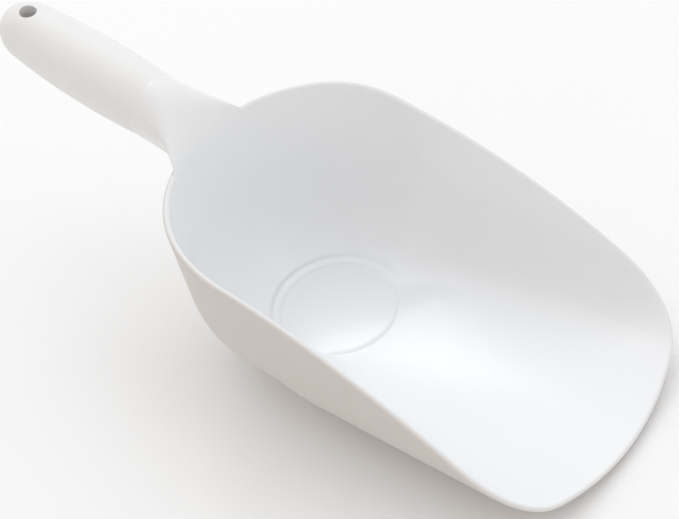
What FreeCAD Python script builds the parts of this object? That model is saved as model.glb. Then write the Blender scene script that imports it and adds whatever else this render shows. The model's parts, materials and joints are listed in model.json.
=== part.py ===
# Feed scoop: a round-backed tub open at the front, with a raised hollow handle.
# Frame: +X runs from the handle to the pouring lip, +Z is up, and the origin is the
# centre of the flat foot under the bowl. The XZ plane is the plane of symmetry.
import FreeCAD, Part
import math
import os

V = FreeCAD.Vector

# ---- driving dimensions, in millimetres and degrees ----
# bowl, measured on its outer faces
bowl_length = 236.0        # back of the rim to the tip of the lip
back_radius = 70.7         # half-round back, at the rim
rim_height = 97.7          # underside of the foot to the rim at the back
mouth_widening = 7.9       # how much further out each side wall stands at the lip
wall = 3.0                 # bowl wall and floor
back_draft = 1.8           # lean of the back wall, degrees
back_floor_radius = 750.0  # sag of the floor across the bowl, round the foot
back_corner_radius = 53.0  # bend from floor to back wall
mid_from_back = 105.0      # a section in front of the foot, from the back of the rim
mid_draft = 2.9
mid_floor_radius = 304.0
mid_corner_radius = 38.0
lip_draft = 4.6            # lean of the side walls at the lip, degrees
lip_floor_radius = 171.0   # sag of the floor across the bowl, at the lip
lip_corner_radius = 32.6   # bend from floor to side wall, at the lip

# side view of the rim: level at the back, a blend, then one long arc down to the lip
side_arc_radius = 338.5
side_arc_back = 40.5       # where the long arc would meet the level rim, from the back
rim_blend_radius = 120.0

# foot under the floor, and the raised disc above it
foot_radius = 31.0
foot_height = 3.0
foot_from_back = 66.0      # foot centre from the back of the rim
disc_radius = 30.5
disc_height = 1.2
disc_round = 1.0

# handle, measured along its axis from where the axis meets the back of the rim
handle_axis_height = 101.7
handle_angle = 14.4        # rise of the axis, degrees
joint_at = 26.0            # end of the neck, where the grip starts
handle_end = 118.2         # tip of the grip
grip_front_radius = 16.2
grip_belly_radius = 17.4
grip_end_radius = 14.8
grip_bore_radius = 12.0
plug_bore_radius = 9.0
plug_bore_length = 24.0    # narrow bore, from the tip
plug_head_radius = 11.0
plug_head_thickness = 4.0  # seat of the plug's head, from the tip
plug_core_radius = 6.2
plug_core_depth = 6.0
hang_hole_radius = 4.25
hang_hole_from_end = 16.0

# neck: the handle's root, which flares as it runs into the back wall
neck_spread = 17.5         # how much half-width it gains
neck_dip = 34.0            # how much deeper its underside gets
neck_reach = 9.0           # how far in front of the back of the rim it runs
neck_flare = 4.5           # distance over which the flare falls to a third
neck_shoulder = 1.0        # widest line of the neck, below the rim at its root
neck_top_gap = 0.2         # top of the neck's root, below the rim

# spigot that carries the grip
spigot_length = 22.0
spigot_core_radius = 8.0
fit_clearance = 0.1        # radial, between spigot and grip, and plug and grip

# ---- values worked out from the driving dimensions ----
back_x = -foot_from_back               # back of the rim
lip_x = back_x + bowl_length
centre_x = back_x + back_radius        # axis of the half-round back
slope = math.radians(handle_angle)
axis_dir = V(-math.cos(slope), 0, math.sin(slope))
across_dir = V(math.sin(slope), 0, math.cos(slope))
above = rim_height + 40.0              # height that clears everything above the rim


def on_axis(distance):
    """Point on the handle's axis, a distance from the back of the rim."""
    return V(back_x, 0, handle_axis_height) + axis_dir * distance


def tub_section(inset, widening, x, draft, floor_radius, corner_radius):
    """Closed outline of the tub across X, from its floor up past the rim."""
    lean = math.radians(draft)
    centre_z = foot_height + floor_radius
    corner = corner_radius - inset
    past_rim = (above - rim_height) * math.tan(lean)
    side_top = back_radius + widening + past_rim - inset / math.cos(lean)
    # the corner's centre keeps its radius from the leaning wall and touches the floor arc
    corner_y = 0.0
    corner_z = foot_height + corner_radius
    for _ in range(20):
        wall_y = side_top - (above - corner_z) * math.tan(lean)
        corner_y = wall_y - corner / math.cos(lean)
        reach = floor_radius - corner_radius
        corner_z = centre_z - math.sqrt(reach ** 2 - corner_y ** 2)
    reach = math.hypot(corner_y, centre_z - corner_z)
    down = V(0, corner_y / reach, (corner_z - centre_z) / reach)
    out = V(0, math.cos(lean), -math.sin(lean))
    middle = (down + out).normalize()
    centre = V(x, corner_y, corner_z)
    floor_end = centre + down * corner
    corner_mid = centre + middle * corner
    wall_start = centre + out * corner
    wall_end = V(x, side_top, above)
    floor_low = V(x, 0, foot_height + inset)

    def mirrored(p):
        return V(p.x, -p.y, p.z)

    edges = [
        Part.LineSegment(mirrored(wall_end), mirrored(wall_start)).toShape(),
        Part.Arc(mirrored(wall_start), mirrored(corner_mid), mirrored(floor_end)).toShape(),
        Part.Arc(mirrored(floor_end), floor_low, floor_end).toShape(),
        Part.Arc(floor_end, corner_mid, wall_start).toShape(),
        Part.LineSegment(wall_start, wall_end).toShape(),
        Part.LineSegment(wall_end, mirrored(wall_end)).toShape(),
    ]
    return Part.Wire(edges)


def tub(inset, front_x):
    """Solid tub: the section turned about the back's axis, then run on to front_x."""
    share = (front_x - centre_x) / (lip_x - centre_x)
    start = tub_section(inset, 0.0, centre_x, back_draft, back_floor_radius, back_corner_radius)
    mid_x = back_x + mid_from_back
    mid_share = (mid_x - centre_x) / (lip_x - centre_x)
    mid_widening = mouth_widening * mid_share
    middle = tub_section(inset, mid_widening, mid_x, mid_draft, mid_floor_radius, mid_corner_radius)
    lip = (lip_draft, lip_floor_radius, lip_corner_radius)
    at_lip = tub_section(inset, mouth_widening, lip_x, *lip)
    end = tub_section(inset, mouth_widening * share, front_x, *lip)
    trough = Part.makeLoft([start, middle, at_lip, end], True, True)
    half_space = Part.makeBox(0.5 * bowl_length, 2 * bowl_length, 2 * above,
                              V(centre_x - 0.25 * bowl_length, 0, -0.5 * above))
    half = Part.Face(start).common(half_space)
    back = half.revolve(V(centre_x, 0, 0), V(0, 0, 1), 180)
    return back.fuse(trough).removeSplitter()


def rim_cutter():
    """Everything above the rim, as seen from the side."""
    lip_low = foot_height      # the arc ends on the underside of the lip
    run = bowl_length - side_arc_back
    fall = rim_height - lip_low
    chord = math.hypot(run, fall)
    to_centre = math.sqrt(side_arc_radius ** 2 - 0.25 * chord ** 2)
    mid_x = back_x + side_arc_back + 0.5 * run
    mid_z = lip_low + 0.5 * fall
    arc_x = mid_x - fall / chord * to_centre
    arc_z = mid_z - run / chord * to_centre
    # blend arc: touches the level rim from below and the long arc from inside
    blend_z = rim_height - rim_blend_radius
    between = side_arc_radius - rim_blend_radius
    blend_x = arc_x + math.sqrt(between ** 2 - (blend_z - arc_z) ** 2)
    towards = V(blend_x - arc_x, 0, blend_z - arc_z) / between
    arc_centre = V(arc_x, 0, arc_z)
    level_start = V(back_x - back_radius, 0, rim_height)
    level_end = V(blend_x, 0, rim_height)
    blend_end = arc_centre + towards * side_arc_radius
    blend_mid_dir = (V(0, 0, 1) + towards).normalize()
    blend_mid = V(blend_x, 0, blend_z) + blend_mid_dir * rim_blend_radius
    # the long arc runs on past the lip, below the floor
    past = math.radians(4.0)
    lip_dir = (V(lip_x, 0, lip_low) - arc_centre).normalize()
    end_angle = math.atan2(lip_dir.z, lip_dir.x) - past
    arc_end = arc_centre + V(math.cos(end_angle), 0, math.sin(end_angle)) * side_arc_radius
    arc_mid_dir = (towards + V(math.cos(end_angle), 0, math.sin(end_angle))).normalize()
    arc_mid = arc_centre + arc_mid_dir * side_arc_radius
    far = lip_x + bowl_length
    top = 3 * above
    edges = [
        Part.LineSegment(level_start, level_end).toShape(),
        Part.Arc(level_end, blend_mid, blend_end).toShape(),
        Part.Arc(blend_end, arc_mid, arc_end).toShape(),
        Part.LineSegment(arc_end, V(far, 0, arc_end.z)).toShape(),
        Part.LineSegment(V(far, 0, arc_end.z), V(far, 0, top)).toShape(),
        Part.LineSegment(V(far, 0, top), V(level_start.x, 0, top)).toShape(),
        Part.LineSegment(V(level_start.x, 0, top), level_start).toShape(),
    ]
    face = Part.Face(Part.Wire(edges))
    face.translate(V(0, -2 * back_radius, 0))
    return face.extrude(V(0, 4 * back_radius, 0))


def neck_wire(centre, lean, half_width, rise, drop):
    """Egg-shaped loop across the handle: rise above its widest line, drop below it."""
    up = V(math.sin(lean), 0, math.cos(lean))
    count = 24
    points = []
    for i in range(count):
        angle = 2 * math.pi * i / count
        height = rise if i < count / 2 else drop
        sideways = V(0, half_width * math.cos(angle), 0)
        points.append(centre + sideways + up * (height * math.sin(angle)))
    curve = Part.BSplineCurve()
    curve.interpolate(points, PeriodicFlag=True)
    return Part.Wire([curve.toShape()])


def neck():
    """Flared root of the handle: its top falls to the rim, its sides and underside spread."""
    start_x = on_axis(joint_at).x
    end_x = back_x + neck_reach
    inner_wall_x = back_x + wall
    count = 7
    wires = []
    for i in range(count):
        t = i / (count - 1.0)
        x = start_x + (end_x - start_x) * t
        flare = math.exp((x - end_x) / neck_flare) - math.exp((start_x - end_x) / neck_flare)
        to_wall = min(1.0, (x - start_x) / (inner_wall_x - start_x))
        fall = to_wall ** 4
        line_z = handle_axis_height + (back_x - x) * math.tan(slope)
        middle_z = line_z + (rim_height - neck_shoulder - line_z) * fall
        rise = grip_front_radius + (neck_shoulder - neck_top_gap - grip_front_radius) * fall
        drop = grip_front_radius + middle_z - line_z + neck_dip * flare
        half_width = grip_front_radius + neck_spread * flare
        wires.append(neck_wire(V(x, 0, middle_z), slope * (1 - t), half_width, rise, drop))
    return Part.makeLoft(wires, True, False)


def handle_cylinder(radius, start, length):
    """Round bar on the handle's axis."""
    return Part.makeCylinder(radius, length, on_axis(start), axis_dir)


def hang_hole():
    """Bar that cuts the hanging hole, square across the handle in the plane of symmetry."""
    reach = 2 * grip_belly_radius
    centre = on_axis(handle_end - hang_hole_from_end)
    return Part.makeCylinder(hang_hole_radius, 2 * reach, centre - across_dir * reach, across_dir)


def grip_profile_point(distance, radius):
    """Point in the XZ plane, a radius above the handle's axis."""
    return on_axis(distance) + across_dir * radius


def grip_solid():
    """Outer shape of the grip with no bore: one barrel arc, then a rounded end."""
    dome_at = handle_end - grip_end_radius
    belly_at = 0.5 * (joint_at + dome_at)
    front = grip_profile_point(joint_at, grip_front_radius)
    belly = grip_profile_point(belly_at, grip_belly_radius)
    dome_start = grip_profile_point(dome_at, grip_end_radius)
    half = math.sqrt(0.5) * grip_end_radius
    dome_mid = grip_profile_point(dome_at + half, half)
    tip = on_axis(handle_end)
    edges = [
        Part.LineSegment(on_axis(joint_at), front).toShape(),
        Part.Arc(front, belly, dome_start).toShape(),
        Part.Arc(dome_start, dome_mid, tip).toShape(),
        Part.LineSegment(tip, on_axis(joint_at)).toShape(),
    ]
    return Part.Face(Part.Wire(edges)).revolve(on_axis(joint_at), axis_dir, 360)


def scoop_bowl():
    """The tub with its foot, disc, neck and spigot."""
    overrun = 30.0
    cavity = tub(wall, lip_x + 2 * overrun)
    outer = tub(0.0, lip_x + overrun).cut(rim_cutter())
    pad = Part.makeCylinder(foot_radius, foot_height + wall, V(0, 0, 0), V(0, 0, 1))
    solid = outer.fuse([neck(), pad]).cut(cavity)
    disc_top = foot_height + wall + disc_height
    sunk = 0.5 * wall
    disc = Part.makeCylinder(disc_radius, disc_height + sunk, V(0, 0, disc_top - disc_height - sunk))
    top_edge = [e for e in disc.Edges if abs(e.CenterOfMass.z - disc_top) < 1e-6]
    disc = disc.makeFillet(disc_round, top_edge)
    spigot = handle_cylinder(grip_bore_radius - fit_clearance, joint_at - wall, spigot_length + wall)
    core = handle_cylinder(spigot_core_radius, joint_at, spigot_length + wall)
    return solid.fuse([disc, spigot]).cut(core)


def handle_grip():
    """Hollow barrel grip: a wide bore for the spigot, a narrow one for the plug, a head seat."""
    bore_end = handle_end - plug_bore_length
    bore = handle_cylinder(grip_bore_radius, joint_at - wall, bore_end - joint_at + wall)
    narrow = handle_cylinder(plug_bore_radius, bore_end, 2 * plug_bore_length)
    seat = handle_cylinder(plug_head_radius, handle_end - plug_head_thickness, plug_bore_length)
    return grip_solid().cut(bore).cut(narrow).cut(seat).cut(hang_hole())


def handle_end_plug():
    """Plug that closes the grip, flush with its rounded end and crossed by the hanging hole."""
    start = handle_end - plug_bore_length
    shank = handle_cylinder(plug_bore_radius - fit_clearance, start, plug_bore_length)
    head = handle_cylinder(plug_head_radius - fit_clearance, handle_end - plug_head_thickness,
                           plug_head_thickness)
    core = handle_cylinder(plug_core_radius, start, plug_core_depth)
    return shank.fuse(head).common(grip_solid()).cut(core).cut(hang_hole())


os.makedirs("parts", exist_ok=True)
pieces = {
    "scoop_bowl": scoop_bowl(),
    "handle_grip": handle_grip(),
    "handle_end_plug": handle_end_plug(),
}
for name, shape in pieces.items():
    solid = shape.Solids[0]
    print(name, "valid", shape.isValid(), "solids", len(shape.Solids), "volume", round(shape.Volume))
    solid.exportStep("parts/" + name + ".step")
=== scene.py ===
import json
import math

import bmesh
import bpy
import numpy as np
from mathutils import Matrix, Vector


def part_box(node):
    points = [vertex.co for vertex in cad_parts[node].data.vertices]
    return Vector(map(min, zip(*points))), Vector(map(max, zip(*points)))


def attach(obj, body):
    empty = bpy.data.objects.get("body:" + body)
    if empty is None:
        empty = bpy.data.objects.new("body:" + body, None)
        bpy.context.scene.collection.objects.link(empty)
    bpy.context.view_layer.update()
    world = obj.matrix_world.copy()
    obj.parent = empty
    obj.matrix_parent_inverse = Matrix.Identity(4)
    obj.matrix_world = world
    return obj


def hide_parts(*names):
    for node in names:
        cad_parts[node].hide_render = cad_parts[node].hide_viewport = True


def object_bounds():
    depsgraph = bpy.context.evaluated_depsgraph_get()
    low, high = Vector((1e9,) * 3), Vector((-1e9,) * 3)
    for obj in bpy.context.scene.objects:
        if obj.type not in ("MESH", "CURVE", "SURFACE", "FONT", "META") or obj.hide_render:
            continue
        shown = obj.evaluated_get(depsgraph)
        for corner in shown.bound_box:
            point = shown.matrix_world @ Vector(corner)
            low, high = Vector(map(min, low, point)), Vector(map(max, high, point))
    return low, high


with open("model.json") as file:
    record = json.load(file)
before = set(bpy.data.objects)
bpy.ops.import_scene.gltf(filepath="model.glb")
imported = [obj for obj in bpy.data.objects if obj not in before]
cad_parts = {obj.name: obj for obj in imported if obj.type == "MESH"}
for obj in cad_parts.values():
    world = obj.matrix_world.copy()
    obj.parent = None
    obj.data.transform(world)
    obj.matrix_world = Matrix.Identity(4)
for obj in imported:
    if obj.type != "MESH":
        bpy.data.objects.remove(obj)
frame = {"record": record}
cad_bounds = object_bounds()

# ---- the stage ----
# A pale tabletop that runs away out of sight, on which the scoop stands on its foot. It is
# one flat sheet of matt card with a faint grain, laid just under the foot.
floor_half = 6.0
floor_drop = 0.0002
card_grain_scale = 900.0


class Socket:
    """A node's output: sums on it add Math nodes, and make() adds any other node."""

    def __init__(self, tree, output=None):
        self.tree = tree
        self.output = output

    def make(self, kind, settings, inputs, output=0):
        node = self.tree.nodes.new(kind)
        for name, value in settings.items():
            setattr(node, name, value)
        for name, value in inputs.items():
            if isinstance(value, Socket):
                self.tree.links.new(value.output, node.inputs[name])
            else:
                node.inputs[name].default_value = value
        return Socket(self.tree, node.outputs[output])

    def sum(self, operation, first, second=0.0):
        return self.make("ShaderNodeMath", {"operation": operation}, {0: first, 1: second})

    def __add__(self, other):
        return self.sum("ADD", self, other)

    def __radd__(self, other):
        return self.sum("ADD", other, self)

    def __sub__(self, other):
        return self.sum("SUBTRACT", self, other)

    def __rsub__(self, other):
        return self.sum("SUBTRACT", other, self)

    def __mul__(self, other):
        return self.sum("MULTIPLY", self, other)

    def __rmul__(self, other):
        return self.sum("MULTIPLY", other, self)

    def __truediv__(self, other):
        return self.sum("DIVIDE", self, other)

    def __rtruediv__(self, other):
        return self.sum("DIVIDE", other, self)


def mix_colour(factor, first, second):
    return factor.make("ShaderNodeMix", {"data_type": "RGBA"}, {0: factor, 6: first, 7: second}, 2)


def noise(place, scale, detail):
    return place.make("ShaderNodeTexNoise", {}, {"Vector": place, "Scale": scale, "Detail": detail})


def new_material(name):
    """A material with an empty tree, its shader and its Object coordinates."""
    material = bpy.data.materials.new(name)
    material.use_nodes = True
    tree = material.node_tree
    shader = tree.nodes["Principled BSDF"]
    place = Socket(tree).make("ShaderNodeTexCoord", {}, {}, "Object")
    return material, tree, shader, place


floor_mesh = bpy.data.meshes.new("tabletop")
sweep = bmesh.new()
bmesh.ops.create_grid(sweep, x_segments=8, y_segments=8, size=floor_half)
for vertex in sweep.verts:
    vertex.co.z = cad_bounds[0][2] - floor_drop
sweep.to_mesh(floor_mesh)
sweep.free()
tabletop = bpy.data.objects.new("tabletop", floor_mesh)
bpy.context.scene.collection.objects.link(tabletop)
card, card_tree, card_shader, card_place = new_material("pale_card")
card_grain = noise(card_place, card_grain_scale, 2.0)
card_colour = mix_colour(card_grain, (0.93, 0.93, 0.93, 1.0), (0.96, 0.96, 0.96, 1.0))
card_tree.links.new(card_colour.output, card_shader.inputs["Base Color"])
card_shader.inputs["Roughness"].default_value = 0.9
card_shader.inputs["Specular IOR Level"].default_value = 0.1
floor_mesh.materials.append(card)

# ---- light and camera ----
# Daylight: a sky that is brightest overhead and dimmer and warmer on the near side, a window
# behind the far side of the bowl, a broad soft box above it, and weak warm light from the room.
scene = bpy.context.scene
scene.view_settings.view_transform = "Standard"
sky_strength = 1.30
lit_spot = Vector((0.03, 0.0, 0.03))
sky = bpy.data.worlds.new("daylight")
scene.world = sky
sky.use_nodes = True
sky_shader = sky.node_tree.nodes["Background"]
sky_way = Socket(sky.node_tree).make("ShaderNodeTexCoord", {}, {}, "Generated")
sky_height = sky_way.make("ShaderNodeSeparateXYZ", {}, {0: sky_way}, "Z")
sky_share = sky_height.make("ShaderNodeMapRange", {"interpolation_type": "SMOOTHSTEP"},
                            {"Value": sky_height, "From Min": -0.1, "From Max": 0.9})
sky_colour = mix_colour(sky_share, (0.60, 0.595, 0.59, 1.0), (0.80, 0.82, 0.84, 1.0))
sky_side = sky_way.make("ShaderNodeSeparateXYZ", {}, {0: sky_way}, "Y")
sky_side = sky_side.make("ShaderNodeMapRange", {"interpolation_type": "SMOOTHSTEP"},
                         {"Value": sky_side - 0.4 * sky_height, "From Min": -1.0, "From Max": 0.1,
                          "To Min": 1.0, "To Max": 0.0})
sky_colour = mix_colour(sky_side, sky_colour, (0.50, 0.475, 0.455, 1.0))
sky.node_tree.links.new(sky_colour.output, sky_shader.inputs["Color"])
sky_shader.inputs["Strength"].default_value = sky_strength


def soft_box(name, way, distance, width, height, power, colour):
    """An area light, seen along a direction from the bowl, that faces the bowl."""
    light = bpy.data.lights.new(name, "AREA")
    light.shape = "RECTANGLE"
    light.size = width
    light.size_y = height
    light.energy = power
    light.color = colour
    box = bpy.data.objects.new(name, light)
    scene.collection.objects.link(box)
    towards = Vector(way).normalized()
    box.location = lit_spot + towards * distance
    box.visible_camera = False
    box.rotation_euler = towards.to_track_quat("Z", "Y").to_euler()


soft_box("window", (-0.46, 0.42, 0.72), 2.2, 0.50, 0.42, 1.9, (0.97, 0.99, 1.0))
soft_box("overhead", (-0.25, 0.35, 1.0), 2.4, 2.6, 2.2, 11.0, (0.96, 0.98, 1.0))
soft_box("room_fill", (0.5, -1.0, 0.25), 2.4, 1.8, 1.2, 3.0, (1.0, 0.90, 0.80))

# the camera looks down on the bowl from the mouth's near side
camera_turn = math.radians(44.516)
camera_height = math.radians(47.829)
camera_roll = math.radians(-12.678)
camera_distance = 0.798163
aim = Vector((0.044, 0.0, 0.030))
backward = Vector((math.sin(camera_turn) * math.cos(camera_height),
                   -math.cos(camera_turn) * math.cos(camera_height),
                   math.sin(camera_height)))
level_right = Vector((math.cos(camera_turn), math.sin(camera_turn), 0.0))
level_up = level_right.cross(-backward)
right = math.cos(camera_roll) * level_right + math.sin(camera_roll) * level_up
up = -math.sin(camera_roll) * level_right + math.cos(camera_roll) * level_up
lens_data = bpy.data.cameras.new("view")
view = bpy.data.objects.new("view", lens_data)
scene.collection.objects.link(view)
turn = Matrix((right, up, backward)).transposed().to_4x4()
view.matrix_world = Matrix.Translation(aim + backward * camera_distance) @ turn
lens_data.sensor_width = 36.0
lens_data.lens = 88.60
lens_data.shift_x = -0.0943
lens_data.shift_y = 0.0732
lens_data.clip_start = 0.01
lens_data.clip_end = 50.0
scene.camera = view

# ---- the bowl and its neck ----
# One moulding: a tub with a half-round back and a rounded lip, 3 mm thick, whose back wall
# swells into the hollow handle's root. A foot stands under the floor and a raised disc above.
bowl_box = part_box("scoop_bowl")
hole_mount = [m for m in frame["record"]["mounts"] if m["name"] == "hang_hole"][0]
bowl_length = 0.2360
back_radius = 0.0707
rim_height = 0.0977
mouth_widening = 0.0079
wall = 0.0030
foot_radius = 0.0310
foot_height = 0.0030
disc_radius = 0.0298
disc_top = 0.0072
disc_edge = 0.0026
disc_fillet_share = 0.14   # of the disc's height
disc_fillet_reach = 0.0014
foot_fillet_start = 0.0345
foot_fillet_drop = 0.0009
lip_x = bowl_box[1].x
back_x = lip_x - bowl_length
centre_x = back_x + back_radius
mid_x = back_x + 0.105
# sections of the tub at the round back, in front of the foot, and at the lip
section_places = (centre_x, mid_x, lip_x)
drafts = tuple(math.radians(a) for a in (1.8, 2.9, 4.6))
floor_bends = tuple(1.0 / r for r in (0.750, 0.304, 0.171))
corner_radii = (0.053, 0.038, 0.0326)
widening_start = 0.12
# side view of the rim
side_arc_radius = 0.3385
side_arc_back = 0.0405
rim_blend_radius = 0.120
# the rim is looked for outwards from here, in steps, on the flat tub
rim_search_start = 0.045
rim_search_step = 0.0015


def between_sections(values, x):
    """A size that passes smoothly through its values at the three sections."""
    a, b, c = section_places
    first = (values[1] - values[0]) / (b - a)
    second = (values[2] - values[1]) / (c - b)
    heavy = 2 * (c - b) + (b - a)
    light = (c - b) + 2 * (b - a)
    middle = (heavy + light) / (heavy / first + light / second)
    x = np.clip(x, a, c + 0.02)

    def hermite(t, width, start, end, start_slope, end_slope):
        return (start * (2 * t ** 3 - 3 * t ** 2 + 1) + start_slope * width * (t ** 3 - 2 * t ** 2 + t)
                + end * (3 * t ** 2 - 2 * t ** 3) + end_slope * width * (t ** 3 - t ** 2))

    near = hermite((x - a) / (b - a), b - a, values[0], values[1], 0.0, middle)
    far = hermite((x - b) / (c - b), c - b, values[1], values[2], middle, second)
    return np.where(x < b, near, far)


def section(x, run):
    """Half-width and height of the wall's middle layer, a length round from the floor's centre."""
    lean = between_sections(drafts, x)
    floor_radius = 1.0 / between_sections(floor_bends, x)
    corner_radius = between_sections(corner_radii, x)
    share = np.maximum(x - centre_x, 0.0) / (lip_x - centre_x)
    soft = np.sqrt(share ** 2 + widening_start ** 2) - widening_start
    soft = soft / (math.sqrt(1 + widening_start ** 2) - widening_start)
    inset = 0.5 * wall
    floor_centre = foot_height + floor_radius
    corner = corner_radius - inset
    side = back_radius + mouth_widening * soft - inset / np.cos(lean)
    corner_z = foot_height + corner_radius
    for _ in range(12):
        corner_y = side - (rim_height - corner_z) * np.tan(lean) - corner / np.cos(lean)
        corner_z = floor_centre - np.sqrt((floor_radius - corner_radius) ** 2 - corner_y ** 2)
    bend = np.arctan2(corner_y, floor_centre - corner_z)
    floor_run = (floor_radius - inset) * bend
    corner_run = corner * (0.5 * math.pi - lean - bend)
    on_floor = np.minimum(run, floor_run) / (floor_radius - inset)
    on_corner = bend + np.clip(run - floor_run, 0.0, corner_run) / corner
    on_wall = np.maximum(run - floor_run - corner_run, 0.0)
    y = np.where(run < floor_run, (floor_radius - inset) * np.sin(on_floor),
                 corner_y + corner * np.sin(on_corner) + on_wall * np.sin(lean))
    z = np.where(run < floor_run, floor_centre - (floor_radius - inset) * np.cos(on_floor),
                 corner_z - corner * np.cos(on_corner) + on_wall * np.cos(lean))
    return y, z


def tub_surface(flat):
    """Places on the wall's middle layer, from places on the tub laid out flat."""
    along, across = flat[..., 0], flat[..., 1]
    behind = np.minimum(along - centre_x, 0.0)
    run = np.hypot(behind, across)
    y, z = section(np.maximum(along, centre_x), run)
    scale = y / np.maximum(run, 1e-9)
    return np.stack([np.maximum(along, centre_x) + behind * scale, across * scale, z], -1)


def tub_slopes(flat):
    step = 2e-5
    shift_x = np.array([step, 0.0])
    shift_y = np.array([0.0, step])
    by_x = (tub_surface(flat + shift_x) - tub_surface(flat - shift_x)) / (2 * step)
    by_y = (tub_surface(flat + shift_y) - tub_surface(flat - shift_y)) / (2 * step)
    return by_x, by_y


def unit(vectors):
    return vectors / np.linalg.norm(vectors, axis=-1, keepdims=True)


def tub_outward(flat):
    by_x, by_y = tub_slopes(flat)
    return unit(np.cross(by_y, by_x))


def rim_line(x):
    """Height of the rim, seen from the side."""
    run = bowl_length - side_arc_back
    fall = rim_height - foot_height
    chord = math.hypot(run, fall)
    to_centre = math.sqrt(side_arc_radius ** 2 - 0.25 * chord ** 2)
    arc_x = back_x + side_arc_back + 0.5 * run - fall / chord * to_centre
    arc_z = foot_height + 0.5 * fall - run / chord * to_centre
    blend_z = rim_height - rim_blend_radius
    between = side_arc_radius - rim_blend_radius
    blend_x = arc_x + math.sqrt(between ** 2 - (blend_z - arc_z) ** 2)
    join_x = arc_x + (blend_x - arc_x) / between * side_arc_radius
    blend = blend_z + np.sqrt(np.maximum(rim_blend_radius ** 2 - (x - blend_x) ** 2, 0.0))
    arc = arc_z + np.sqrt(np.maximum(side_arc_radius ** 2 - (x - arc_x) ** 2, 0.0))
    return np.where(x < blend_x, rim_height, np.where(x < join_x, blend, arc))


def rim_distance(angles):
    """How far out, on the flat tub, the middle layer meets the rim."""
    way = np.stack([np.cos(angles), np.sin(angles)], -1)
    low = np.full(len(angles), rim_search_start)
    high = np.full(len(angles), rim_search_start)
    for _ in range(160):
        place = tub_surface(way * high[:, None])
        inside = place[:, 2] < rim_line(place[:, 0])
        low = np.where(inside, high, low)
        high = np.where(inside, high + rim_search_step, high)
    for _ in range(30):
        half = 0.5 * (low + high)
        place = tub_surface(way * half[:, None])
        inside = place[:, 2] < rim_line(place[:, 0])
        low = np.where(inside, half, low)
        high = np.where(inside, high, half)
    return way * low[:, None]


column_count = 264
path_rows = 46
roll_rows = 9
ring_start = 0.0352        # the rows leave the disc and the foot here
turns = np.linspace(0.0, 2 * math.pi, 2401)
coarse_rim = tub_surface(rim_distance(turns))
rim_run = np.concatenate([[0.0], np.cumsum(np.linalg.norm(np.diff(coarse_rim, axis=0), axis=1))])
angles = np.interp(np.arange(column_count) / column_count * rim_run[-1], rim_run, turns)
rim_flat = rim_distance(angles)
rim_top = tub_surface(rim_flat)
rim_way = unit(np.roll(rim_top, -1, 0) - np.roll(rim_top, 1, 0))
rim_out = tub_outward(rim_flat)
inward = unit(np.cross(rim_out, rim_way))
inward *= -np.sign(np.sum(inward * (rim_top - tub_surface(rim_flat * 0.97)), -1))[:, None]
by_x, by_y = tub_slopes(rim_flat)
slopes = np.stack([by_x, by_y], -1)
flat_ways = [np.linalg.lstsq(slopes[k], inward[k], rcond=None)[0] for k in range(column_count)]
inward_flat = np.stack(flat_ways)
roll_radius = 0.5 * wall
roll_flat = rim_flat + inward_flat * roll_radius
start_flat = np.stack([np.cos(angles), np.sin(angles)], -1) * ring_start
pull = np.linalg.norm(roll_flat - start_flat, axis=1, keepdims=True)


def path_place(t):
    """Places on the flat tub from the disc's edge, t = 0, to the rim's roll, t = 1."""
    leave = unit(start_flat) * pull
    arrive = -unit(inward_flat) * pull
    return (start_flat * (2 * t ** 3 - 3 * t ** 2 + 1) + leave * (t ** 3 - 2 * t ** 2 + t)
            + roll_flat * (3 * t ** 2 - 2 * t ** 3) + arrive * (t ** 3 - t ** 2))


rows = []
# each row's share of the inner face: it sets the gloss, and it mixes the inside's painted light with
# the outside's painted shade
inside_share = []


def add_row(places, share):
    rows.append(places)
    inside_share.append(share)


def disc_rise(radius):
    """Share of the disc's height at a distance from its centre: flat, rounded edge, small fillet."""
    edge = min(max((radius - (disc_radius - disc_edge)) / disc_edge, 0.0), 1.0)
    if radius <= disc_radius:
        return disc_fillet_share + (1 - disc_fillet_share) * math.sqrt(1 - edge ** 2)
    return disc_fillet_share * max(0.0, 1 - (radius - disc_radius) / disc_fillet_reach) ** 2


spokes = unit(start_flat)
edge_steps = [disc_radius - disc_edge * math.cos(a) for a in np.linspace(0.0, 0.5 * math.pi, 9)]
disc_rows = [0.006, 0.012, 0.018, 0.0235] + edge_steps + [0.0301, 0.0305, 0.0311, 0.0322, 0.0338]
for radius in disc_rows:
    flat = spokes * radius
    floor_place = tub_surface(flat) - tub_outward(flat) * roll_radius
    floor_place[:, :2] = flat
    floor_place[:, 2] += (disc_top - floor_place[:, 2]) * disc_rise(radius)
    add_row(floor_place, 1.0)
path_steps = np.linspace(0.0, 1.0, path_rows)
for t in path_steps:
    flat = path_place(t)
    add_row(tub_surface(flat) - tub_outward(flat) * roll_radius, 1.0)
neck_top_row = len(rows) - 2
roll_centre = tub_surface(roll_flat)
roll_out = tub_outward(roll_flat)
roll_up = unit(rim_top - roll_centre)
for i in range(1, roll_rows):
    angle = math.pi * i / roll_rows
    roll_way = math.sin(angle) * roll_up - math.cos(angle) * roll_out
    add_row(roll_centre + roll_radius * roll_way, 1 - i / roll_rows)
for t in path_steps[::-1]:
    flat = path_place(t)
    add_row(tub_surface(flat) + tub_outward(flat) * roll_radius, 0.0)
foot_edge = 0.0007
foot_rows = [foot_fillet_start, 0.0335, 0.0326, 0.0319, 0.0314, foot_radius]
for radius in foot_rows:
    flat = spokes * radius
    under = tub_surface(flat) + tub_outward(flat) * roll_radius
    under[:, :2] = flat
    fillet = ((foot_fillet_start - radius) / (foot_fillet_start - foot_radius)) ** 3
    under[:, 2] -= foot_fillet_drop * fillet
    add_row(under, 0.0)
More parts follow.
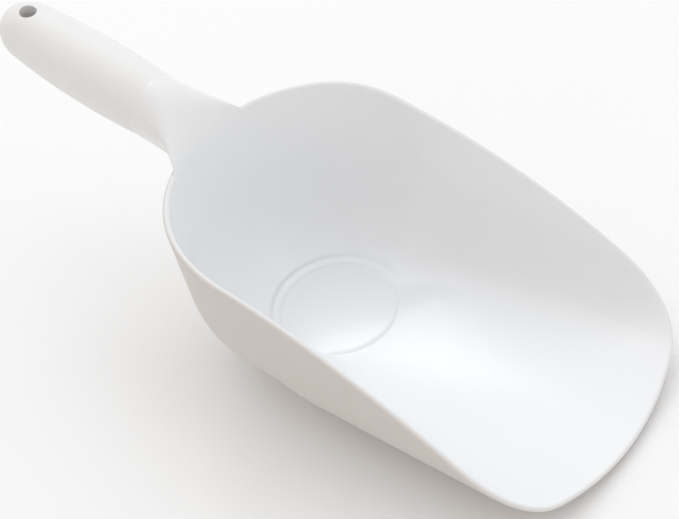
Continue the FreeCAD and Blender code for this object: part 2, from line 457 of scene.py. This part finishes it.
for angle in np.linspace(0.0, 0.5 * math.pi, 6):
    ring = np.zeros((column_count, 3))
    ring[:, :2] = spokes * (foot_radius - foot_edge * (1 - math.cos(angle)))
    ring[:, 2] = foot_edge * (1 - math.sin(angle))
    add_row(ring, 0.0)
for radius in (0.026, 0.019, 0.012, 0.006):
    ring = np.zeros((column_count, 3))
    ring[:, :2] = spokes * radius
    add_row(ring, 0.0)

# the neck: a patch of the back wall and rim is left open and led up to the grip
hole_axis = Vector(hole_mount["axis"]).normalized()
handle_way = np.array([-hole_axis.z, 0.0, hole_axis.x])
handle_across = np.array([hole_axis.x, 0.0, hole_axis.z])
handle_end = 0.1182
hole_from_end = 0.0160
hole_centre = np.array(hole_mount["pos_m"])
handle_root = hole_centre - handle_way * (handle_end - hole_from_end)
joint_at = 0.0260
neck_end_radius = 0.0162
neck_half_columns = 12     # on the rim's inner edge
neck_low_half_columns = 6  # on the outside of the wall
neck_bottom_row = neck_top_row + 1 + roll_rows + 7
neck_rows = 22
seam_round = 0.00004
# the neck takes most of the inner colour, so it gets little of the outside's painted shade
neck_share = 0.80

back_column = column_count // 2


def neck_half(r):
    """Half-width of the open patch in columns: it narrows as it crosses the rim."""
    narrowed = min(max(r - neck_top_row - 1, 0), neck_half_columns - neck_low_half_columns)
    return neck_half_columns - narrowed


loop = [(neck_top_row, back_column + c) for c in range(-neck_half_columns, neck_half_columns)]
loop += [(r, back_column + neck_half(r)) for r in range(neck_top_row, neck_bottom_row)]
low_columns = range(neck_low_half_columns, -neck_low_half_columns, -1)
loop += [(neck_bottom_row, back_column + c) for c in low_columns]
loop += [(r, back_column - neck_half(r)) for r in range(neck_bottom_row, neck_top_row, -1)]
grid = np.stack(rows)
edge_places = np.stack([grid[r, c] for r, c in loop])
outside = []
for r, c in loop:
    dr = -1 if r == neck_top_row else (1 if r == neck_bottom_row else 0)
    at_side = abs(c - back_column) == neck_half(r)
    dc = int(np.sign(c - back_column)) if at_side else 0
    outside.append(grid[r, c] - grid[r + dr, c + dc])
leave = unit(np.stack(outside))
loop_run = np.concatenate([[0.0], np.cumsum(np.linalg.norm(np.diff(edge_places, axis=0), axis=1))])
loop_length = loop_run[-1] + np.linalg.norm(edge_places[0] - edge_places[-1])
ring_turn = (loop_run - loop_run[neck_half_columns]) / loop_length * 2 * math.pi
# the ring's angle is counted from its top, towards the side where the loop goes first
side_sign = np.sign(edge_places[neck_half_columns + 4, 1])
ring_side = np.array([0.0, side_sign, 0.0])
ring_out = np.cos(ring_turn)[:, None] * handle_across + np.sin(ring_turn)[:, None] * ring_side
neck_face = handle_root + handle_way * joint_at
ring_places = neck_face + neck_end_radius * ring_out

# how softly each part of the neck meets the wall: broad on top, tight at the sides
root_top, root_side, root_corner, root_bottom = 0.0135, 0.0040, 0.0100, 0.0070
corner_low = 0.087         # height at which the corner's fillet starts to grow
corner_grow = 0.010
high = np.clip((edge_places[:, 2] - corner_low) / corner_grow, 0.0, 1.0)
low_edge = np.array([r == neck_bottom_row for r, c in loop])
top_edge = np.array([r == neck_top_row for r, c in loop])
fillet_size = root_side + (root_corner - root_side) * high
fillet_size = np.where(low_edge, root_bottom, np.where(top_edge, root_top, fillet_size))
for _ in range(6):
    fillet_size = (np.roll(fillet_size, 1) + 2 * fillet_size + np.roll(fillet_size, -1)) / 4
fillet_size = fillet_size[:, None]
reach_along = np.sum((ring_places - edge_places) * handle_way, -1)[:, None]
leave_pull = 3 * 0.6 * fillet_size
arrive_pull = 3 * (reach_along - fillet_size)
neck_grid = []
for t in np.linspace(0.0, 1.0, neck_rows + 1)[1:]:
    from_wall = edge_places * (2 * t ** 3 - 3 * t ** 2 + 1)
    from_wall = from_wall + leave * leave_pull * (t ** 3 - 2 * t ** 2 + t)
    to_ring = ring_places * (3 * t ** 2 - 2 * t ** 3)
    neck_grid.append(from_wall + to_ring + handle_way * arrive_pull * (t ** 3 - t ** 2))
spigot_radius = 0.0119
spigot_length = 0.0220
core_radius = 0.0080
neck_grid.append(neck_face + handle_way * seam_round + (neck_end_radius - seam_round) * ring_out)
neck_grid[-2] = neck_grid[-2] - handle_way * seam_round
neck_grid.append(neck_face + handle_way * seam_round + spigot_radius * ring_out)
neck_grid.append(neck_face + handle_way * spigot_length + spigot_radius * ring_out)
neck_grid.append(neck_face + handle_way * spigot_length + core_radius * ring_out)
neck_grid.append(neck_face + core_radius * ring_out)

row_count = len(rows)
places = [tuple(p) for p in grid.reshape(-1, 3)]
shares = list(np.repeat(inside_share, column_count))


def at(r, c):
    return r * column_count + c % column_count


faces = []
for r in range(row_count - 1):
    for c in range(column_count):
        corners = [(r, c), (r, c + 1), (r + 1, c + 1), (r + 1, c)]
        if neck_top_row <= r < neck_bottom_row:
            # a face that lies wholly in the patch is left out; where the patch narrows, the face
            # on its slanted edge loses the corner that is inside
            if all(abs(b - back_column) <= neck_half(a) for a, b in corners):
                continue
            spare = (r, c) if c < back_column else (r, c + 1)
            inner = (r, c + 1) if c < back_column else (r, c)
            inner_open = abs(inner[1] - back_column) < neck_half(r)
            if inner_open and abs(spare[1] - back_column) == neck_half(r):
                corners.remove(inner)
        faces.append(tuple(at(a, b) for a, b in corners))
for r, height in ((0, disc_top), (row_count - 1, 0.0)):
    places.append((0.0, 0.0, height))
    shares.append(1.0 if r == 0 else 0.0)
    pole = len(places) - 1
    for c in range(column_count):
        faces.append((pole, at(r, c), at(r, c + 1)))
# the vertices inside the open patch belong to no face and are deleted further down
open_counts = [2 * neck_half(r) - 1 for r in range(neck_top_row + 1, neck_bottom_row)]
first_neck_vertex = len(places) - sum(open_counts)
neck_blend_rate = 1.8      # how fast the neck's tone takes over from the wall's
last = [at(r, c) for r, c in loop]
edge_shares = np.array([inside_share[r] for r, c in loop])
for step, ring in enumerate(neck_grid):
    first = len(places)
    blend = min(1.0, neck_blend_rate * (step + 1) / neck_rows)
    places.extend(tuple(p) for p in ring)
    shares.extend(edge_shares * (1 - blend) + neck_share * blend)
    these = [first + i for i in range(len(loop))]
    for i in range(len(loop)):
        j = (i + 1) % len(loop)
        faces.append((last[i], last[j], these[j], these[i]))
    last = these
faces.append(tuple(last))

bowl_mesh = bpy.data.meshes.new("bowl_moulding")
bowl_mesh.from_pydata(places, [], faces)
inside_mark = bowl_mesh.attributes.new("inside", "FLOAT", "POINT")
inside_mark.data.foreach_set("value", np.array(shares, np.float32))
built = bmesh.new()
built.from_mesh(bowl_mesh)
loose = [v for v in built.verts if not v.link_faces]
bmesh.ops.delete(built, geom=loose, context="VERTS")
bmesh.ops.recalc_face_normals(built, faces=built.faces)
built.to_mesh(bowl_mesh)
built.free()
bowl_mesh.shade_smooth()
bowl = bpy.data.objects.new("bowl_moulding", bowl_mesh)
scene.collection.objects.link(bowl)

# the moulding is faired where the neck runs into the wall and over the rim
fair = bowl.vertex_groups.new(name="neck_root")
fair_reach = 0.012
fair_end = joint_at - 0.003
fair_fade = 0.008
neck_fairing = 0.8
for vertex in bowl_mesh.vertices:
    gap = np.min(np.linalg.norm(edge_places - np.array(vertex.co), axis=1))
    beyond = np.dot(np.array(vertex.co) - handle_root, handle_way)
    on_neck = vertex.index >= first_neck_vertex
    if beyond > fair_end or vertex.co.x > centre_x:
        continue
    weight = max(0.0, 1.0 - gap / fair_reach) ** 2
    if on_neck:
        weight = max(weight, neck_fairing * min(1.0, (fair_end - beyond) / fair_fade))
    if weight > 0.0:
        fair.add([vertex.index], weight, "REPLACE")
smoothing = bowl.modifiers.new("fairing", "SMOOTH")
smoothing.factor = 0.5
smoothing.iterations = 14
smoothing.vertex_group = "neck_root"
shown = bowl.evaluated_get(bpy.context.evaluated_depsgraph_get())
bowl.data = bpy.data.meshes.new_from_object(shown)
bowl.modifiers.clear()

gloss, gloss_tree, gloss_shader, gloss_place = new_material("gloss_moulding")
inside = gloss_place.make("ShaderNodeAttribute", {"attribute_name": "inside"}, {}, "Fac")
cloud = noise(gloss_place, 22.0, 3.0)
grain = noise(gloss_place, 1700.0, 2.0)
stretch = gloss_place.make("ShaderNodeMapping", {},
                           {"Vector": gloss_place, "Scale": (30.0, 420.0, 160.0)})
scuff_noise = noise(stretch, 1.0, 4.0)
scuff = scuff_noise.make("ShaderNodeMapRange", {},
                         {"Value": scuff_noise, "From Min": 0.62, "From Max": 0.78})
# The inner and outer faces are lit and shaded copies of one white plastic. The outside's darker,
# warmer colour is painted shade. The inside's brighter tone is painted light, for light passing
# through the thin wall. The cloud and the scuffs are the plastic's own.
tone = mix_colour(cloud, (0.868, 0.878, 0.892, 1.0), (0.892, 0.900, 0.910, 1.0))
tone_and_painted_shade = mix_colour(inside, (0.665, 0.625, 0.590, 1.0), tone)
worn_and_painted_shade = mix_colour(scuff * 0.10, tone_and_painted_shade, (0.74, 0.735, 0.725, 1.0))
gloss_tree.links.new(worn_and_painted_shade.output, gloss_shader.inputs["Base Color"])
polish = 0.40 - 0.25 * inside + cloud * 0.05 + scuff * 0.10
gloss_tree.links.new(polish.output, gloss_shader.inputs["Roughness"])
ripple = noise(gloss_place, 34.0, 1.0)
relief = ripple * 0.5 + grain * (0.16 - 0.12 * inside)
bump = relief.make("ShaderNodeBump", {}, {"Strength": 0.22, "Distance": 0.0006, "Height": relief})
gloss_tree.links.new(bump.output, gloss_shader.inputs["Normal"])
gloss_shader.inputs["IOR"].default_value = 1.49
bowl.data.materials.clear()
bowl.data.materials.append(gloss)
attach(bowl, "root")
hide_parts("scoop_bowl")

# ---- the hollow grip ----
# A barrel-shaped tube, moulded apart and pushed over the neck's spigot. Its far end is
# rounded, bored for the plug, and crossed by the hole that the scoop hangs by.
grip_length = handle_end - joint_at
front_radius = 0.0162
belly_radius = 0.0174
end_radius = 0.0148
dome_start = 0.135         # angle at which the barrel runs into the rounded end
dome_length = 0.0171
bore_radius = 0.0120
plug_bore_radius = 0.0090
plug_bore_length = 0.0240
plug_head_radius = 0.0110
plug_head_thickness = 0.0040
plug_core_radius = 0.0062
plug_core_depth = 0.0060
hole_radius = 0.00425
hole_flare = 0.0006
fit_gap = 0.0001
drill_reach = 0.06         # length of the drill, more than the grip is thick
flare_inset = 0.0006       # the hole's flare starts this far under the skin
flare_run = 0.0016
flare_limit = 1.8
grip_sizes = {
    "Length": grip_length, "Front Radius": front_radius, "Belly Radius": belly_radius,
    "End Radius": end_radius, "Dome Start": dome_start, "Dome Length": dome_length,
    "Hole Radius": hole_radius, "Hole Flare": hole_flare, "Hole Place": grip_length - hole_from_end,
    "Bore Radius": bore_radius, "Bore End": grip_length - plug_bore_length,
    "Plug Bore Radius": plug_bore_radius, "Head Radius": plug_head_radius,
    "Head Seat": grip_length - plug_head_thickness,
}


def turned(tree, along_rows, sides, shape):
    """A closed body of revolution on Z; shape gives distance and radius from the row's share."""
    start = Socket(tree)
    sheet = start.make("GeometryNodeMeshGrid", {}, {"Size X": 1.0, "Size Y": 1.0,
                                                    "Vertices X": along_rows, "Vertices Y": sides + 1})
    where = start.make("GeometryNodeInputPosition", {}, {})
    share = where.make("ShaderNodeSeparateXYZ", {}, {0: where}, "X") + 0.5
    around = (where.make("ShaderNodeSeparateXYZ", {}, {0: where}, "Y") + 0.5) * (2 * math.pi)
    distance, radius = shape(share)
    place = start.make("ShaderNodeCombineXYZ", {}, {"X": radius * around.sum("SINE", around),
                                                    "Y": radius * around.sum("COSINE", around),
                                                    "Z": distance})
    bent = start.make("GeometryNodeSetPosition", {}, {"Geometry": sheet, "Position": place})
    return start.make("GeometryNodeMergeByDistance", {}, {"Geometry": bent, "Distance": 2e-6})


def bar(size_radius, low, high):
    """Shape of a plain bar with flat ends, for turned()."""
    def shape(share):
        inner = share.sum("LESS_THAN", share, 0.999) * share.sum("GREATER_THAN", share, 0.001)
        middle = share.sum("GREATER_THAN", share, 0.5)
        return low + (high - low) * middle, size_radius * inner
    return shape


def boolean(tree, operation):
    node = tree.nodes.new("GeometryNodeMeshBoolean")
    node.operation = operation
    node.solver = "EXACT"
    return node


def handle_tree(name, plug):
    """The grip by rule: a barrel with a rounded end, bored and drilled, or trimmed to the plug."""
    tree = bpy.data.node_groups.new(name, "GeometryNodeTree")
    tree.interface.new_socket("Geometry", in_out="OUTPUT", socket_type="NodeSocketGeometry")
    identifiers = {}
    for key in grip_sizes:
        socket = tree.interface.new_socket(key, in_out="INPUT", socket_type="NodeSocketFloat")
        identifiers[key] = socket.identifier
    entry = tree.nodes.new("NodeGroupInput")
    size = {key: Socket(tree, entry.outputs[key]) for key in grip_sizes}
    barrel_share = 0.62
    body_rows = 96
    first_row = 1 / (body_rows - 1)

    def barrel_and_dome(share):
        face = share.sum("GREATER_THAN", share, 0.5 * first_row)
        share = share.sum("MAXIMUM", share - first_row, 0.0) / (1 - first_row)
        along = share.sum("MINIMUM", share / barrel_share, 1.0)
        past = share.sum("MAXIMUM", share - barrel_share, 0.0) / (1 - barrel_share)
        angle = size["Dome Start"] + past * (0.5 * math.pi - size["Dome Start"])
        start_sine = angle.sum("SINE", size["Dome Start"])
        straight = size["Length"] - size["Dome Length"] * (1 - start_sine)
        distance = along * straight + size["Dome Length"] * (angle.sum("SINE", angle) - start_sine)
        ends = size["Front Radius"] + (size["End Radius"] - size["Front Radius"]) * along
        swell = size["Belly Radius"] - 0.5 * (size["Front Radius"] + size["End Radius"])
        fall = angle.sum("COSINE", angle) / angle.sum("COSINE", size["Dome Start"])
        return distance, (ends + swell * 4.0 * along * (1 - along)) * fall * face

    def drill(share):
        across = (share - 0.5) * drill_reach
        far = across.sum("ABSOLUTE", across)
        start = size["End Radius"] - flare_inset
        lift = across.sum("MAXIMUM", (far - start) / flare_run, 0.0)
        lift = across.sum("MINIMUM", lift, flare_limit)
        inner = share.sum("LESS_THAN", share, 0.999) * share.sum("GREATER_THAN", share, 0.001)
        return across, (size["Hole Radius"] + size["Hole Flare"] * lift * lift) * inner

    start = Socket(tree)
    body = turned(tree, body_rows, 128, barrel_and_dome)
    drill_body = turned(tree, 121, 64, drill)
    drill_spot = start.make("ShaderNodeCombineXYZ", {}, {"Z": size["Hole Place"]})
    drill_body = start.make("GeometryNodeTransform", {}, {
        "Geometry": drill_body, "Translation": drill_spot, "Rotation": (0.0, 0.5 * math.pi, 0.0)})
    overrun = 0.01
    if plug:
        shank = turned(tree, 4, 96, bar(size["Plug Bore Radius"] - fit_gap, size["Bore End"],
                                        size["Length"] + overrun))
        head = turned(tree, 4, 96, bar(size["Head Radius"] - fit_gap, size["Head Seat"],
                                       size["Length"] + overrun))
        core = turned(tree, 4, 96, bar(plug_core_radius, size["Bore End"] - overrun,
                                       size["Bore End"] + plug_core_depth))
        whole = boolean(tree, "UNION")
        for part in (shank, head):
            tree.links.new(part.output, whole.inputs["Mesh 2"])
        trimmed = boolean(tree, "INTERSECT")
        tree.links.new(whole.outputs["Mesh"], trimmed.inputs["Mesh 2"])
        tree.links.new(body.output, trimmed.inputs["Mesh 2"])
        stock, cutters = Socket(tree, trimmed.outputs["Mesh"]), (core, drill_body)
    else:
        bore = turned(tree, 4, 96, bar(size["Bore Radius"], size["Length"] * -0.1, size["Bore End"]))
        narrow = turned(tree, 4, 96, bar(size["Plug Bore Radius"], size["Bore End"] - overrun,
                                         size["Length"] + overrun))
        seat = turned(tree, 4, 96, bar(size["Head Radius"], size["Head Seat"],
                                       size["Length"] + overrun))
        stock, cutters = body, (bore, narrow, seat, drill_body)
    cut = boolean(tree, "DIFFERENCE")
    tree.links.new(stock.output, cut.inputs["Mesh 1"])
    for cutter in cutters:
        tree.links.new(cutter.output, cut.inputs["Mesh 2"])
    done = Socket(tree, cut.outputs["Mesh"])
    real = done.make("GeometryNodeRealizeInstances", {}, {"Geometry": done})
    return tree, identifiers, real


def finish_handle_piece(name, plug, material, node):
    """Bakes the tree, lays the piece on the handle's line, and shades it."""
    tree, identifiers, real = handle_tree(name + "_shape", plug)
    coloured = real.make("GeometryNodeSetMaterial", {}, {"Geometry": real, "Material": material})
    out = tree.nodes.new("NodeGroupOutput")
    tree.links.new(coloured.output, out.inputs["Geometry"])
    piece = bpy.data.objects.new(name, bpy.data.meshes.new(name))
    scene.collection.objects.link(piece)
    maker = piece.modifiers.new("shape", "NODES")
    maker.node_group = tree
    for key, value in grip_sizes.items():
        maker[identifiers[key]] = value
    bpy.context.view_layer.update()
    shaped = piece.evaluated_get(bpy.context.evaluated_depsgraph_get())
    baked = bpy.data.meshes.new_from_object(shaped)
    piece.modifiers.clear()
    piece.data = baked
    # Z of the turned body lies along the handle, X across it in the plane of symmetry
    z_way, x_way = Vector(handle_way), Vector(handle_across)
    lie = Matrix((x_way, z_way.cross(x_way), z_way)).transposed().to_4x4()
    baked.transform(Matrix.Translation(Vector(neck_face)) @ lie)
    tidy = bmesh.new()
    tidy.from_mesh(baked)
    bmesh.ops.remove_doubles(tidy, verts=tidy.verts, dist=1e-6)
    bmesh.ops.recalc_face_normals(tidy, faces=tidy.faces)
    tidy.to_mesh(baked)
    tidy.free()
    baked.shade_smooth()
    baked.set_sharp_from_angle(angle=math.radians(38))
    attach(piece, "root")
    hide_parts(node)


satin, satin_tree, satin_shader, satin_place = new_material("satin_grip")
satin_cloud = noise(satin_place, 26.0, 3.0)
satin_grain = noise(satin_place, 1500.0, 2.0)
satin_worn = noise(satin_place, 75.0, 5.0)
handled = satin_worn.make("ShaderNodeMapRange", {},
                          {"Value": satin_worn, "From Min": 0.50, "From Max": 0.72})
satin_tone = mix_colour(satin_cloud, (0.822, 0.815, 0.806, 1.0), (0.848, 0.842, 0.836, 1.0))
satin_tone = mix_colour(handled * 0.18, satin_tone, (0.765, 0.748, 0.728, 1.0))
satin_tree.links.new(satin_tone.output, satin_shader.inputs["Base Color"])
satin_polish = 0.46 + satin_cloud * 0.08 - handled * 0.10
satin_tree.links.new(satin_polish.output, satin_shader.inputs["Roughness"])
satin_relief = satin_cloud * 0.4 + satin_grain * 0.2
satin_bump = satin_relief.make("ShaderNodeBump", {},
                               {"Strength": 0.25, "Distance": 0.0006, "Height": satin_relief})
satin_tree.links.new(satin_bump.output, satin_shader.inputs["Normal"])
satin_shader.inputs["IOR"].default_value = 1.49
finish_handle_piece("hollow_grip", False, satin, "handle_grip")

# ---- the end plug ----
# A short turned plug, glued in the grip's bore, whose head lies flush in the rounded end.
# The hanging hole is drilled through the grip and the plug together.
finish_handle_piece("end_plug", True, satin, "handle_end_plug")
